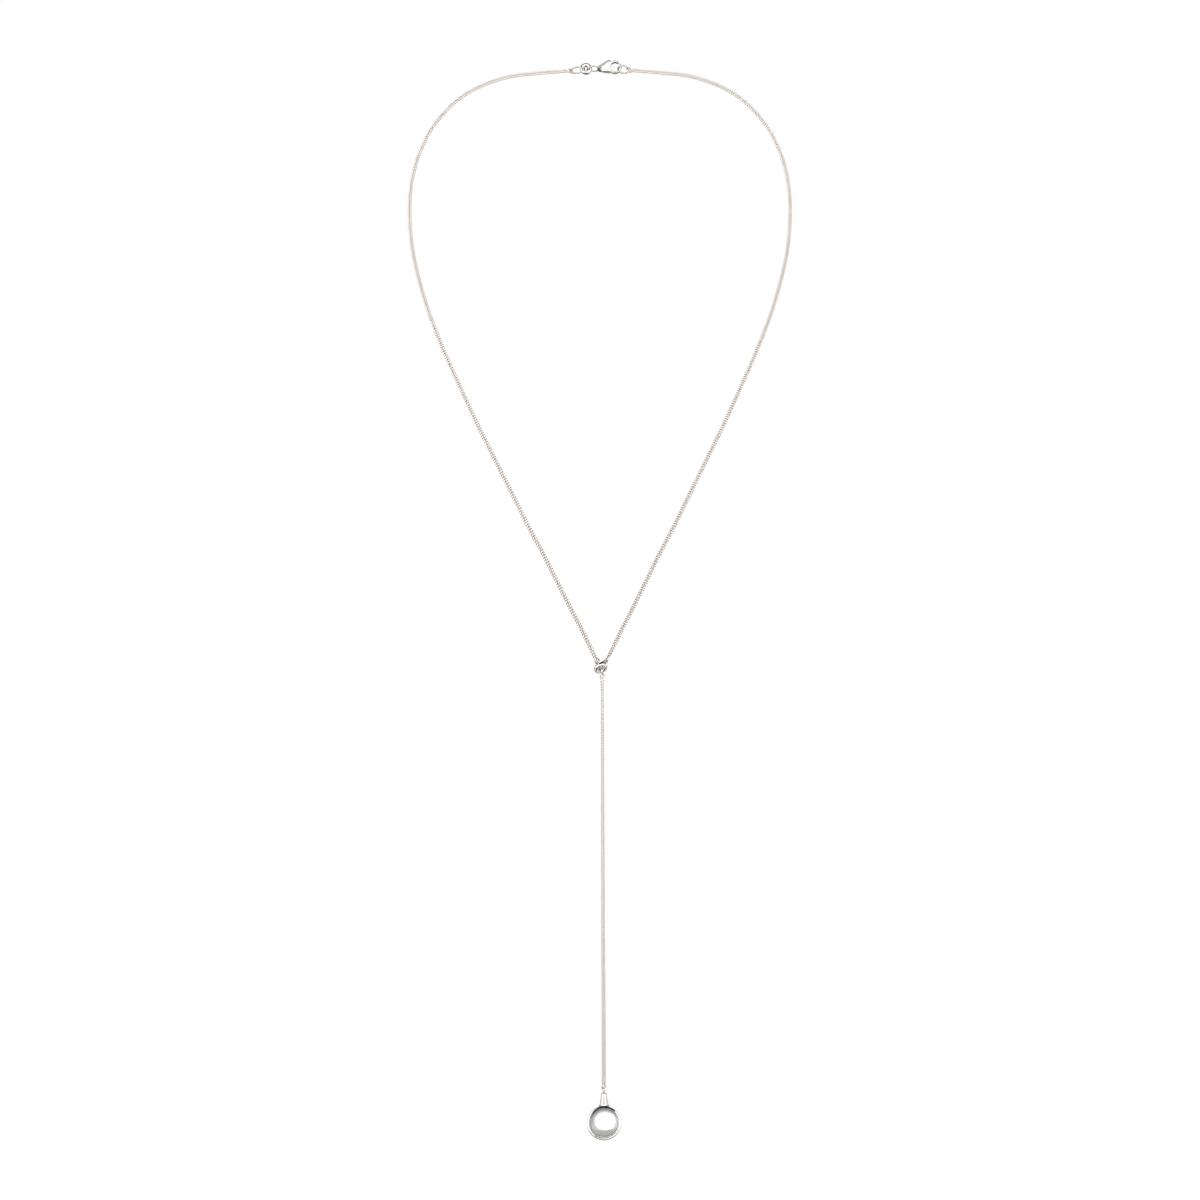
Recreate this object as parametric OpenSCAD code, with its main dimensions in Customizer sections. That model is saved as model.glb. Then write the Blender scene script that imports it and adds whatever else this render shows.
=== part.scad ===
// Y necklace of polished silver: a fine flat curb chain with a lobster clasp at the nape,
// a heavy ring at the junction, a drop chain and a round stone pendant.
// Millimetres. +Z is up, +X is to the right and the viewer stands towards -Y.
// The origin is the middle of the clasp row at the nape, where the necklace hangs.

/* [Loop] */
// Width of the loop between the middles of its arms
loop_w = 107; // [98:1:125]
// Height of the loop from the junction ring to the clasp row
loop_h = 172.3; // [155:0.1:190]

/* [Chain] */
// Width of the flat curb chain
chain_w = 1.1; // [0.8:0.05:1.3]
// Thickness of the flat curb chain
chain_t = 0.7; // [0.4:0.05:0.9]
// Length of the drop chain between its two end links
drop_length = 107; // [60:1:150]
// Turn of the drop chain from its bottom to its top, in degrees
drop_turn = 70; // [0:5:90]

/* [Thin rings of the clasp row] */
// Outer diameter of the ring in the clasp's tail eye
clasp_ring_d = 4.1; // [3.8:0.1:5]
// Outer diameter of the left end ring
left_ring_d = 4.6; // [3.8:0.1:5]
// Outer diameter of the right end ring, which the hook holds
right_ring_d = 3.5; // [3.4:0.1:4.6]
// Wire of a thin ring
thin_wire = 0.4; // [0.25:0.05:0.45]

/* [Heavy rings] */
// Outer diameter of the heavy ring at the nape
nape_ring_d = 3.5; // [3.4:0.1:4.2]
// Outer diameter of the heavy ring at the junction
y_ring_d = 3.6; // [3.5:0.1:4.5]
// Wall of a heavy ring, measured along its radius
heavy_wall = 1.05; // [0.8:0.05:1.1]
// Width of a heavy ring, measured along its axis
heavy_w = 1.2; // [1.1:0.05:1.4]

/* [Small links at the junction] */
// Outer diameter of a small link
link_d = 2.2; // [2.1:0.1:3]
// Wire of a small link
link_wire = 0.3; // [0.2:0.05:0.35]

/* [Clasp] */
// Hole of the eye at the tail
eye_hole_d = 0.9; // [0.8:0.05:1.1]
// Wall of the eye at the tail, which is as thick as it is wide
eye_wire = 0.5; // [0.4:0.05:0.7]
// Distance from the eye to the middle of the hook's opening
hook_reach = 4.25; // [3.9:0.05:5]
// Width of the hook's opening
hook_opening_d = 2.6; // [2.3:0.1:3]
// Wire of the hook
hook_wire = 0.68; // [0.6:0.02:0.8]
// Largest thickness of the clasp's body
clasp_t = 1.7; // [1.5:0.05:2]

/* [Clasp lever] */
// Thickness of the lever's hub
lever_t = 0.6; // [0.4:0.05:0.7]
// Diameter of the lever's hub
hub_d = 1.2; // [1:0.05:1.3]
// Diameter of the pivot pin
pivot_d = 0.44; // [0.3:0.02:0.6]
// Wire of the gate
gate_wire = 0.56; // [0.4:0.02:0.6]
// Diameter of the thumb knob
knob_d = 0.7; // [0.5:0.05:0.8]

/* [Pendant setting] */
// Outer diameter of the setting
setting_d = 8.9; // [8.4:0.1:12]
// Depth of the setting from its back to its front rim
setting_t = 3; // [2.4:0.1:4]
// How much smaller the setting's radius is at its back
setting_taper = 0.6; // [0:0.05:0.6]
// Width of the outer rim
rim_w = 0.62; // [0.4:0.02:0.8]
// Width of the lip that holds the stone
lip_w = 0.46; // [0.3:0.02:0.6]
// How far the lip reaches over the stone
lip_reach = 0.24; // [0.1:0.02:0.3]
// Thickness of the back plate
back_t = 0.6; // [0.4:0.1:1]

/* [Stone] */
// Height of the stone's dome above its girdle
dome_h = 2.8; // [1.6:0.1:3.2]
// Thickness of the stone's base below its girdle
stone_base = 0.7; // [0.3:0.1:1]

/* [Bail] */
// Height of the bail from the setting to the middle of its eye
bail_h = 3.2; // [2.6:0.1:6]
// Width of the bail where it meets the setting
bail_base_d = 2.3; // [1.6:0.1:2.6]
// Width of the bail at its eye
bail_top_d = 1.2; // [1.1:0.02:1.5]
// Thickness of the bail's eye
bail_eye_t = 0.4; // [0.3:0.05:0.45]
// Hole of the bail's eye
bail_hole_d = 0.6; // [0.56:0.02:0.64]
// Outer diameter of the link in the bail's eye
bail_link_d = 1.5; // [1.4:0.05:2]
// Wire of the link in the bail's eye
bail_link_wire = 0.26; // [0.2:0.02:0.3]

/* [Fits] */
// Clear distance between two linked rings
link_gap = 0.12; // [0.08:0.01:0.14]
// Clear distance between the chain and the ring that it meets
chain_gap = 0.1; // [0.05:0.01:0.3]
// Radial clearance of the lever on its pin
pivot_gap = 0.04; // [0.02:0.01:0.08]
// Clear distance between the lever and the body's slot
slot_gap = 0.08; // [0.05:0.01:0.15]
// Clear distance between the gate and the hook's nose
nose_gap = 0.06; // [0.04:0.01:0.2]
// Clear distance round the stone
stone_gap = 0.06; // [0.03:0.01:0.1]
// Clear distance between the bail's link and the top of its hole
swing_gap = 0.08; // [0.06:0.01:0.1]

/* [Hidden] */

FN = 48;
HULL_FN = 28;
SILVER = "silver";
PALE_SILVER = "gainsboro";
MILKY = "ghostwhite";
CHAIN_SIDES = 8;
DROP_RINGS = 24;

// Route of one arm from the clasp row down to the junction, on the right side.
// The left arm is its mirror image. Each row is [across, back, up], for a loop of the size below.
ARM_ROUTE = [
    [18, 0, -1], [25.5, -0.5, -2], [33, -1.5, -4.5], [39.5, -3.5, -8.5], [44.5, -5.5, -13.5],
    [48.5, -8, -19.5], [51, -10.5, -25.5], [52.5, -13, -31], [53.5, -16, -38], [53.5, -19.5, -46.5],
    [52.5, -23.5, -55.5], [51, -27, -62.5], [49, -30.5, -69.5], [46.5, -34, -77],
    [43.5, -37.5, -84.5], [40, -41, -92.5], [36.5, -44.5, -100], [33, -47.5, -107.5],
    [29.5, -50, -114.5], [26, -52.5, -121.5], [22.5, -54.5, -128.5], [19, -56.5, -135.5],
    [15.5, -57.5, -142], [12, -58.5, -149], [8.5, -59, -156], [4.9, -59, -163], [2.5, -59, -168]];
ROUTE_W = 107;
ROUTE_H = 172.3;
// Middle of the heavy ring at the junction, where both arms end
JUNCTION = [-0.3, -58.5, -loop_h];
// Middle of the eye at the clasp's tail
CLASP_AT = [0.3, 0, 0.25];

// Slope of each thin ring across the row, and how far its top leans back, in degrees
CLASP_RING_SLOPE = 1;
CLASP_RING_LEAN = -84;
LEFT_RING_SLOPE = 9;
LEFT_RING_LEAN = -82;
RIGHT_RING_SLOPE = -11;
RIGHT_RING_LEAN = -62;
// How far the axis of the heavy ring at the nape points down at the back
NAPE_RING_TILT = 15;
// Direction in which the right end ring rests in the hook's opening
RIGHT_RING_REST = -20;

// The junction ring's long direction rises to the right and its top leans forward
Y_RING_RISE = 30;
Y_RING_LEAN = 140;
// Place of each small link round the junction ring, and its pull away from the ring's radius
LEFT_LINK_AT = 88;
LEFT_LINK_PULL = -50;
RIGHT_LINK_AT = 23;
RIGHT_LINK_PULL = -25;
DROP_LINK_AT = 250;
DROP_LINK_PULL = 48;

X_DIR = [1, 0, 0];
Z_DIR = [0, 0, 1];
FACE_DIR = [0, -1, 0];

function unit(v) = v / norm(v);
function mirrored(p) = [-p[0], p[1], p[2]];
function on_loop(p) = [p[0] * loop_w / ROUTE_W, p[1], p[2] * loop_h / ROUTE_H];

// Directions of a thin ring in the clasp row
function row_dir(slope) = [cos(slope), 0, sin(slope)];
function row_up(slope, lean) = [-sin(slope) * cos(lean), sin(lean), cos(slope) * cos(lean)];

// Thin rings: each one passes through its neighbour's hole at a clear distance
function thin_r(ring_d) = (ring_d - thin_wire) / 2;
heavy_hole_r = nape_ring_d / 2 - heavy_wall;
eye_slack = eye_hole_d / 2 - thin_wire / 2 - link_gap;
heavy_slack = heavy_hole_r - thin_wire / 2 - link_gap;
hook_slack = hook_opening_d / 2 - thin_wire / 2 - 1.2 * link_gap;
clasp_ring_at = CLASP_AT - eye_slack * X_DIR - thin_r(clasp_ring_d) * row_dir(CLASP_RING_SLOPE);
nape_ring_at = clasp_ring_at - thin_r(clasp_ring_d) * row_dir(CLASP_RING_SLOPE) - heavy_slack * X_DIR;
left_ring_at = nape_ring_at - heavy_slack * X_DIR - thin_r(left_ring_d) * row_dir(LEFT_RING_SLOPE);
hook_at = CLASP_AT + [hook_reach, 0, 0.085 * hook_reach];
right_ring_at = hook_at + hook_slack * row_dir(RIGHT_RING_REST)
    + thin_r(right_ring_d) * row_dir(RIGHT_RING_SLOPE);

// Clasp: the hook and the gate lie on one circle round the opening
hook_r = hook_opening_d / 2 + hook_wire / 2;
gate_r = hook_r + hook_wire / 2 - gate_wire / 2;
HOOK_ROOT_ANGLE = -150;
HOOK_END_ANGLE = 2;
NOSE_ANGLE = 32;
GATE_ROOT_ANGLE = 146;
nose_d = hook_wire / 2;
hook_end_at = hook_at + hook_r * row_dir(HOOK_END_ANGLE);
nose_at = hook_at + (hook_r + hook_wire / 2 - nose_d / 2) * row_dir(NOSE_ANGLE);
pivot_at = hook_at + gate_r * row_dir(GATE_ROOT_ANGLE) + [-0.2, 0, -0.05];
// The gate's tip swings just inside the nose and the hook's end
tip_d = gate_wire / 2;
tip_orbit_r = gate_r - gate_wire / 8;
nose_reach = min(norm(nose_at - pivot_at) - nose_d / 2, norm(hook_end_at - pivot_at) - hook_wire / 2);
tip_reach = nose_reach - nose_gap - tip_d / 2;
gate_reach = nose_reach - nose_gap - gate_wire / 2;
pivot_from_hook = pivot_at - hook_at;
function angle_at_reach(orbit, reach) =
    atan2(pivot_from_hook[2], pivot_from_hook[0])
    - acos((pow(norm(pivot_from_hook), 2) + orbit * orbit - reach * reach)
           / (2 * norm(pivot_from_hook) * orbit));
gate_end_angle = angle_at_reach(gate_r, gate_reach) + 4;
gate_end_at = hook_at + gate_r * row_dir(gate_end_angle);
tip_at = hook_at + tip_orbit_r * row_dir(angle_at_reach(tip_orbit_r, tip_reach));
slot_w = lever_t + 2 * slot_gap;
knob_h = hub_d / 2 + 0.45 * knob_d;
pin_length = 0.8 * clasp_t;

// Junction: the ring's own directions, and the far end of each small link
y_long = row_dir(Y_RING_RISE);
y_side = [-sin(Y_RING_RISE) * sin(Y_RING_LEAN), cos(Y_RING_LEAN), cos(Y_RING_RISE) * sin(Y_RING_LEAN)];
y_axis = cross(y_long, y_side);
y_ring_r = (y_ring_d - heavy_wall) / 2;
link_r = (link_d - link_wire) / 2;
function y_radius(at) = cos(at) * y_long + sin(at) * y_side;
function link_pull(at, pull) = cos(pull) * y_radius(at) + sin(pull) * y_axis;
function wall_reach(pull) = heavy_wall / 2 + (heavy_w - heavy_wall) / 2 * abs(sin(pull));
function link_shift(pull) = link_r - link_wire / 2 - wall_reach(pull) - link_gap;
function link_at(at, pull) =
    JUNCTION + y_ring_r * y_radius(at) + link_shift(pull) * link_pull(at, pull);
function link_end(at, pull) =
    link_at(at, pull) + (link_r + link_wire / 2 + chain_gap) * link_pull(at, pull);

// Chain routes with their computed ends
left_start = left_ring_at - (left_ring_d / 2 + chain_gap) * row_dir(LEFT_RING_SLOPE);
right_start = right_ring_at + (right_ring_d / 2 + chain_gap) * row_dir(RIGHT_RING_SLOPE);
right_route = [for (p = ARM_ROUTE) on_loop(p)];
left_route = [for (p = right_route) mirrored(p)];
left_path = concat([left_start], left_route, [link_end(LEFT_LINK_AT, LEFT_LINK_PULL)]);
right_path = concat([right_start], right_route, [link_end(RIGHT_LINK_AT, RIGHT_LINK_PULL)]);
drop_top = link_end(DROP_LINK_AT, DROP_LINK_PULL);
drop_step = drop_length / (DROP_RINGS - 1);
drop_path = [for (i = [0 : DROP_RINGS - 1]) drop_top - i * drop_step * Z_DIR];

// Pendant: the link's wire in the bail's eye is the axis on which it swings
bail_link_r = (bail_link_d - bail_link_wire) / 2;
bail_link_at = drop_top - (drop_length + chain_gap + bail_link_d / 2) * Z_DIR;
swing_at = bail_link_at - bail_link_r * Z_DIR;
eye_drop = bail_hole_d / 2 - bail_link_wire / 2 - swing_gap;
bail_eye_at = swing_at - eye_drop * Z_DIR;
setting_r = setting_d / 2;
setting_at = bail_eye_at - (bail_h + setting_r) * Z_DIR;
seat_r = setting_r - rim_w - lip_w + lip_reach;
girdle_r = seat_r - stone_gap;
dome_r = (girdle_r * girdle_r + dome_h * dome_h) / (2 * dome_h);
rim_front = setting_t / 2;
floor_level = back_t - setting_t / 2;
girdle_level = floor_level + stone_gap + stone_base;
lip_inner_r = seat_r - lip_reach;
// Height at which the dome is as narrow as the lip's inner edge, less the clear distance
lip_clear_r = lip_inner_r - stone_gap;
lip_level = girdle_level + dome_h - dome_r + sqrt(dome_r * dome_r - lip_clear_r * lip_clear_r);

// Puts what lies in the XY plane into the plane of x_dir, turned round z_dir
module placed(x_dir, z_dir, at) {
    y_dir = cross(z_dir, x_dir);
    multmatrix([[x_dir[0], y_dir[0], z_dir[0], at[0]],
                [x_dir[1], y_dir[1], z_dir[1], at[1]],
                [x_dir[2], y_dir[2], z_dir[2], at[2]],
                [0, 0, 0, 1]])
        children();
}

// A round ring of round wire
module wire_ring(radius, wire) {
    rotate_extrude($fn = FN) translate([radius, 0]) circle(d = wire, $fn = FN / 2);
}

// A bow of round wire in the XZ plane, from one angle to another, with a round end at each
module wire_bow(radius, wire, from, to) {
    rotate([90, 0, 0]) mirror([0, 0, 1]) rotate([0, 0, from])
        rotate_extrude(angle = to - from, $fn = FN) translate([radius, 0]) circle(d = wire, $fn = FN / 2);
    for (a = [from, to])
        translate(radius * row_dir(a)) sphere(d = wire, $fn = FN / 2);
}

// A round taper in the XZ plane, from the end of a bow to a smaller round end
module tapered_end(from, to, d_from, d_to) {
    slope = atan2(to[2] - from[2], to[0] - from[0]);
    inside = 0.96;
    translate(from) rotate([0, 90 - slope, 0])
        cylinder(d1 = inside * d_from, d2 = inside * d_to, h = norm(to - from), $fn = FN);
    translate(to) sphere(d = d_to, $fn = FN / 2);
}

// A cylinder along Y, centred
module cross_pin(d, length) {
    rotate([90, 0, 0]) cylinder(d = d, h = length, center = true, $fn = FN);
}

module thin_ring(at, ring_d, slope, lean) {
    x_dir = row_dir(slope);
    placed(x_dir, cross(x_dir, row_up(slope, lean)), at) wire_ring(thin_r(ring_d), thin_wire);
}

// A heavy ring whose wall has a flat band between two round edges
module heavy_ring(ring_d, x_dir, z_dir, at) {
    placed(x_dir, z_dir, at) rotate_extrude($fn = FN) translate([(ring_d - heavy_wall) / 2, 0]) {
        square([heavy_wall, heavy_w - heavy_wall], center = true);
        for (side = [-1, 1])
            translate([0, side * (heavy_w - heavy_wall) / 2]) circle(d = heavy_wall, $fn = FN / 2);
    }
}

module small_link(at, pull) {
    x_dir = link_pull(at, pull);
    placed(x_dir, cross(y_radius(at), y_axis), link_at(at, pull)) wire_ring(link_r, link_wire);
}

// Directions along, across and out of the flat chain at one point of its route
function run_dir(path, i) = unit(path[min(i + 1, len(path) - 1)] - path[max(i - 1, 0)]);
function flat_dir(path, i) = unit(cross(run_dir(path, i), FACE_DIR));
function out_dir(path, i) = cross(flat_dir(path, i), run_dir(path, i));
function chain_corner(path, i, turn, a) =
    path[i] + chain_w / 2 * cos(a) * (cos(turn) * flat_dir(path, i) + sin(turn) * out_dir(path, i))
            + chain_t / 2 * sin(a) * (cos(turn) * out_dir(path, i) - sin(turn) * flat_dir(path, i));

// The flat chain's outer form along a route, with an oval section of eight sides
module chain_run(path, top_turn) {
    last = len(path) - 1;
    corners = [for (i = [0 : last], k = [0 : CHAIN_SIDES - 1])
        chain_corner(path, i, top_turn * (1 - i / last), k * 360 / CHAIN_SIDES)];
    walls = [for (i = [0 : last - 1], k = [0 : CHAIN_SIDES - 1])
        let (next = (k + 1) % CHAIN_SIDES, a = i * CHAIN_SIDES, b = a + CHAIN_SIDES)
        each [[a + k, b + next, b + k], [a + k, a + next, b + next]]];
    first_cap = [for (k = [CHAIN_SIDES - 1 : -1 : 0]) k];
    last_cap = [for (k = [0 : CHAIN_SIDES - 1]) last * CHAIN_SIDES + k];
    polyhedron(points = corners, faces = concat([first_cap], walls, [last_cap]));
}

// Room that the lever needs in the body: its hub, and all that swings in front of it
module lever_slot() {
    room_d = hub_d + 2 * slot_gap;
    translate(pivot_at) {
        cross_pin(room_d, slot_w);
        translate([0, -slot_w / 2, -room_d / 2]) cube([hook_opening_d, slot_w, room_d]);
        translate([-room_d / 2, -slot_w / 2, 0]) cube([hook_opening_d, slot_w, 2 * knob_d + hub_d]);
    }
}

module belly() {
    sphere(d = clasp_t, $fn = HULL_FN);
}

module clasp_body() color(SILVER) {
    difference() {
        hull() {
            translate(CLASP_AT) cross_pin(eye_hole_d + 2 * eye_wire, eye_wire);
            translate(CLASP_AT + [0.24 * hook_reach, 0, 0.05 * hook_reach]) belly();
            translate(hook_at + [-0.42 * hook_reach, 0, -0.56 * hook_r]) belly();
            translate(hook_at + [-0.43 * hook_reach, 0, 0.72 * hook_r]) belly();
        }
        translate(hook_at) cross_pin(hook_opening_d, 2 * clasp_t);
        translate(CLASP_AT) cross_pin(eye_hole_d, 2 * clasp_t);
        lever_slot();
    }
    translate(hook_at) wire_bow(hook_r, hook_wire, HOOK_ROOT_ANGLE, HOOK_END_ANGLE);
    tapered_end(hook_end_at, nose_at, hook_wire, nose_d);
    translate(pivot_at) cross_pin(pivot_d, pin_length);
}

module clasp_lever() color(PALE_SILVER) difference() {
    union() {
        translate(pivot_at) cross_pin(hub_d, lever_t);
        translate(hook_at) wire_bow(gate_r, gate_wire, gate_end_angle, GATE_ROOT_ANGLE);
        tapered_end(gate_end_at, tip_at, gate_wire, tip_d);
        translate(pivot_at + [-0.2, 0, knob_h]) sphere(d = knob_d, $fn = FN / 2);
        translate(pivot_at + [-0.2, 0, 0]) cylinder(d = 0.75 * knob_d, h = knob_h, $fn = FN / 2);
    }
    translate(pivot_at) cross_pin(pivot_d + 2 * pivot_gap, 2 * lever_t);
}

module clasp_ring() color(SILVER) thin_ring(clasp_ring_at, clasp_ring_d, CLASP_RING_SLOPE, CLASP_RING_LEAN);

module nape_ring() color(SILVER)
    heavy_ring(nape_ring_d, X_DIR, [0, -cos(NAPE_RING_TILT), sin(NAPE_RING_TILT)], nape_ring_at);

module end_ring_left() color(SILVER)
    thin_ring(left_ring_at, left_ring_d, LEFT_RING_SLOPE, LEFT_RING_LEAN);

module end_ring_right() color(SILVER)
    thin_ring(right_ring_at, right_ring_d, RIGHT_RING_SLOPE, RIGHT_RING_LEAN);

module chain_left() color(SILVER) chain_run(left_path, 0);

module chain_right() color(SILVER) chain_run(right_path, 0);

module y_ring() color(SILVER) heavy_ring(y_ring_d, y_long, y_axis, JUNCTION);

module y_link_left() color(SILVER) small_link(LEFT_LINK_AT, LEFT_LINK_PULL);

module y_link_right() color(SILVER) small_link(RIGHT_LINK_AT, RIGHT_LINK_PULL);

module y_link_drop() color(SILVER) small_link(DROP_LINK_AT, DROP_LINK_PULL);

module drop_chain() color(SILVER) chain_run(drop_path, drop_turn);

module bail_link() color(SILVER) translate(bail_link_at) rotate([0, 90, 0]) wire_ring(bail_link_r, bail_link_wire);

// Half of the setting's section: outer wall and rim, lip over the stone, and back plate
module setting_section() {
    back = -setting_t / 2;
    edge_r = rim_w / 2;
    back_r = setting_r - setting_taper;
    translate([setting_r - edge_r, rim_front - edge_r]) circle(r = edge_r, $fn = FN / 2);
    polygon([[seat_r, back + edge_r], [back_r, back + edge_r],
             [setting_r, rim_front - edge_r], [seat_r, rim_front - edge_r]]);
    translate([0, back]) square([back_r - edge_r, back_t]);
    translate([back_r - edge_r, back + edge_r]) circle(r = edge_r, $fn = FN / 2);
    polygon([[seat_r + lip_w - lip_reach + 0.02, girdle_level], [seat_r, girdle_level],
             [lip_inner_r, lip_level], [lip_inner_r, lip_level + 0.16],
             [lip_inner_r + 0.4 * lip_w, lip_level + 0.3], [lip_inner_r + lip_w, lip_level + 0.1]]);
}

// The bail: a cone on the setting with a flat eye on top
module bail() {
    cone_top = bail_eye_at - 0.5 * bail_top_d * Z_DIR;
    cone_h = bail_h - 0.5 * bail_top_d + setting_r - seat_r;
    shoulder_h = 0.2;
    translate(bail_eye_at) cross_pin(bail_top_d, bail_eye_t);
    translate(cone_top - cone_h * Z_DIR) cylinder(d1 = bail_base_d, d2 = bail_top_d, h = cone_h, $fn = FN);
    translate(cone_top) cylinder(d1 = bail_top_d, d2 = 0.6 * bail_top_d, h = shoulder_h, $fn = FN);
}

module pendant_setting() color(SILVER) difference() {
    union() {
        translate(setting_at) rotate([90, 0, 0]) rotate_extrude($fn = 2 * FN) setting_section();
        difference() {
            bail();
            translate(setting_at) cross_pin(2 * seat_r + rim_w, 2 * setting_t);
        }
    }
    translate(bail_eye_at) cross_pin(bail_hole_d, 2 * bail_base_d);
}

// The stone: a polished dome on a short straight base
module stone() color(MILKY) translate(setting_at) rotate([90, 0, 0]) rotate_extrude($fn = 2 * FN) {
    intersection() {
        translate([0, girdle_level + dome_h - dome_r]) circle(r = dome_r, $fn = 2 * FN);
        translate([0, girdle_level - stone_base]) square([girdle_r, stone_base + dome_h]);
    }
}

clasp_body();
clasp_lever();
clasp_ring();
nape_ring();
end_ring_left();
end_ring_right();
chain_left();
chain_right();
y_ring();
y_link_left();
y_link_right();
y_link_drop();
drop_chain();
bail_link();
pendant_setting();
stone();
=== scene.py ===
# %% [markdown]
# # A y necklace of polished silver
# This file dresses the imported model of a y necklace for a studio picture. A y necklace is a loop
# of fine chain with a clasp at the nape, a junction ring at its lowest point, and a drop chain
# with a pendant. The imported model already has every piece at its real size. Here each one gets
# the surface that a finished jewel has, in the order in which a goldsmith would assemble it.
#
# Lengths are in metres, and MM turns millimetres into them. +Z is up, the viewer stands towards
# -Y, and the origin is the middle of the clasp row at the nape.

# %% Load the frame
import math

import bmesh
import bpy
from mathutils import Matrix, Vector


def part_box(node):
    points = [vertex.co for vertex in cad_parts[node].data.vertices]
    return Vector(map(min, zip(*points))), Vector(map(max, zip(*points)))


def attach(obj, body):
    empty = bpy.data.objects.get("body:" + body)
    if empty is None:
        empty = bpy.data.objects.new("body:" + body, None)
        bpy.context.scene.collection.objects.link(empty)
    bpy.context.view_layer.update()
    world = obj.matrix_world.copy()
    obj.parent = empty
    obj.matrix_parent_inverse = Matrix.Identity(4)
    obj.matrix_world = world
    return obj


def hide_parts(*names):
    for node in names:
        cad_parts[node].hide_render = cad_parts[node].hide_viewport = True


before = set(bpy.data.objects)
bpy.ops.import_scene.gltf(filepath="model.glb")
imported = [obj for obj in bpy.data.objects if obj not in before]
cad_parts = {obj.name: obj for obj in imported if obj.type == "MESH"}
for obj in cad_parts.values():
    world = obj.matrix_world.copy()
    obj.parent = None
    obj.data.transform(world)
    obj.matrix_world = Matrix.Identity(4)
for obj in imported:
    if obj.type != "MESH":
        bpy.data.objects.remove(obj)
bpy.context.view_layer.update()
MM = 0.001

# %% [markdown]
# ## Camera
# The loop leans towards the viewer: the junction hangs 58 mm nearer than the clasp. A camera
# close enough to show that makes the far clasp look smaller, and this one stands where the
# picture's own perspective puts it, level with the middle of the necklace and rolled by a
# quarter of a degree.

# %% Camera
PICTURE_SIDE = 1200
JUNCTION_DISTANCE_PX = 1850
JUNCTION_SCALE = 0.26 * MM
JUNCTION_Y = -58.5 * MM
CAMERA_X = -0.43 * MM
CAMERA_HEIGHT = -154.7 * MM
CAMERA_ROLL = math.radians(0.23)
SENSOR = 36


def new_object(name, data):
    """A new object at the origin that shows this mesh, curve or camera."""
    made = bpy.data.objects.new(name, data)
    bpy.context.scene.collection.objects.link(made)
    return made


camera_data = bpy.data.cameras.new("camera")
camera_data.sensor_width = SENSOR
camera_data.lens = SENSOR * JUNCTION_DISTANCE_PX / PICTURE_SIDE
camera = new_object("camera", camera_data)
camera.location = (CAMERA_X, JUNCTION_Y - JUNCTION_DISTANCE_PX * JUNCTION_SCALE, CAMERA_HEIGHT)
camera.rotation_euler = (math.radians(90), CAMERA_ROLL, 0)
bpy.context.scene.camera = camera
print("camera", [round(value, 4) for value in camera.location], "lens", camera_data.lens)

# %% [markdown]
# ## Studio
# Polished silver has no colour of its own: it shows the room. A photographer of jewels works in a
# white tent and hangs black cards in it, because only their dark reflections make the metal read
# as metal. The room is drawn as directions round the necklace: a grey-brown ground colour, the
# white paper behind, and cards. The camera is a dark card too. It stands in the middle of the front
# light, and that is why a polished tube has a dark line down its middle. The viewer's own rays see
# plain white.
#
# Sums, soft steps and mixes of two colours come back in the materials, so each has a helper.

# %% Helpers for colours and sums
def wired(tree, socket, value):
    """Links a socket to an output, or sets it to a value."""
    if isinstance(value, bpy.types.NodeSocket):
        tree.links.new(value, socket)
    else:
        socket.default_value = value


def worked_out(tree, operation, first, second=0.0, third=0.0):
    """The result of one sum."""
    node = tree.nodes.new("ShaderNodeMath")
    node.operation = operation
    for socket, value in zip(node.inputs, (first, second, third)):
        wired(tree, socket, value)
    return node.outputs[0]


def soft_step(tree, value, low, high):
    """0 at one value, 1 at another, and soft between."""
    fade = tree.nodes.new("ShaderNodeMapRange")
    fade.interpolation_type = "SMOOTHSTEP"
    fade.inputs["From Min"].default_value = low
    fade.inputs["From Max"].default_value = high
    tree.links.new(value, fade.inputs["Value"])
    return fade.outputs["Result"]


def mixed(tree, mask, first, second):
    """The first colour where a mask is 0, and the second one where it is 1."""
    mix = tree.nodes.new("ShaderNodeMix")
    mix.data_type = "RGBA"
    colour_sockets = [socket for socket in mix.inputs if socket.type == "RGBA"]
    for socket, colour in zip(colour_sockets, (first, second)):
        wired(tree, socket, (*colour, 1) if isinstance(colour, tuple) else colour)
    tree.links.new(mask, mix.inputs["Factor"])
    return next(out for out in mix.outputs if out.type == "RGBA")


def new_material(name):
    """A material and its shader."""
    material = bpy.data.materials.new(name)
    material.use_nodes = True
    return material, material.node_tree.nodes["Principled BSDF"]


# %% Room of cards
ROOM_COLOUR = (0.30, 0.27, 0.25)
WHITE = (1, 1, 1)
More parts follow.
